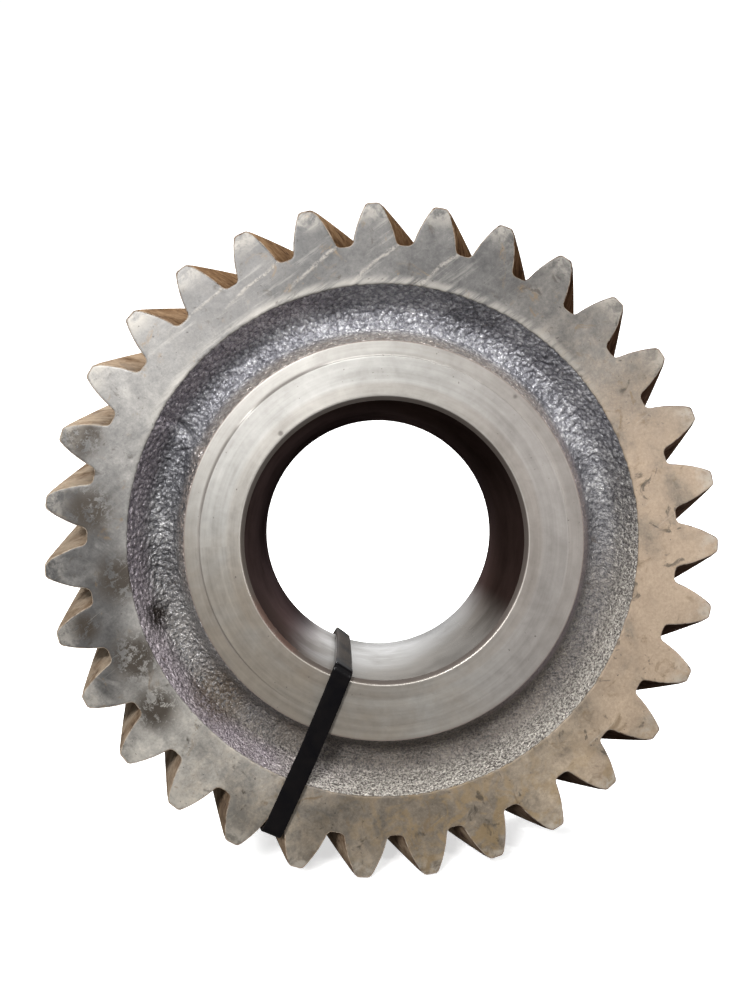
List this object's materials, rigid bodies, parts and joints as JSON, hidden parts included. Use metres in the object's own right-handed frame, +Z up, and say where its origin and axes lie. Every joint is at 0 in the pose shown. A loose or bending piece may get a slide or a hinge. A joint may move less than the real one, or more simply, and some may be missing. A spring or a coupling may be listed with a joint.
{
  "type": "helical gear with cable tie",
  "caption": "Forged steel helical gear with a ground bore, raised hub and recessed web, carrying a black nylon cable tie round its rim.",
  "frame": {"origin": "middle of the bore, halfway along the hub", "axes": "+Y along the bore, from the flush machined front towards the end where the hub stands proud; +Z up through a tooth at the front face; +X to the right as seen from the front"},
  "size_m": [0.16, 0.0569, 0.16],
  "materials": {
    "gear_steel": "machined faces over a dark forged skin",
    "black_nylon": "smooth moulded nylon"
  },
  "bodies": {
    "gear": {"gear": "gear_steel", "tie_strap": "black_nylon", "tie_tail": "black_nylon", "tie_head": "black_nylon"},
    "pawl": {"tie_pawl": "black_nylon"}
  },
  "joints": [
    {"name": "pawl_flex", "type": "hinge", "parent": "gear", "child": "pawl", "pos_m": [-0.02618, 0.02353, -0.04868], "axis": [-0.5939, 0, 0.8046], "range_deg": [0, 12], "stiffness_Nm_per_rad": 0.01}
  ]
}
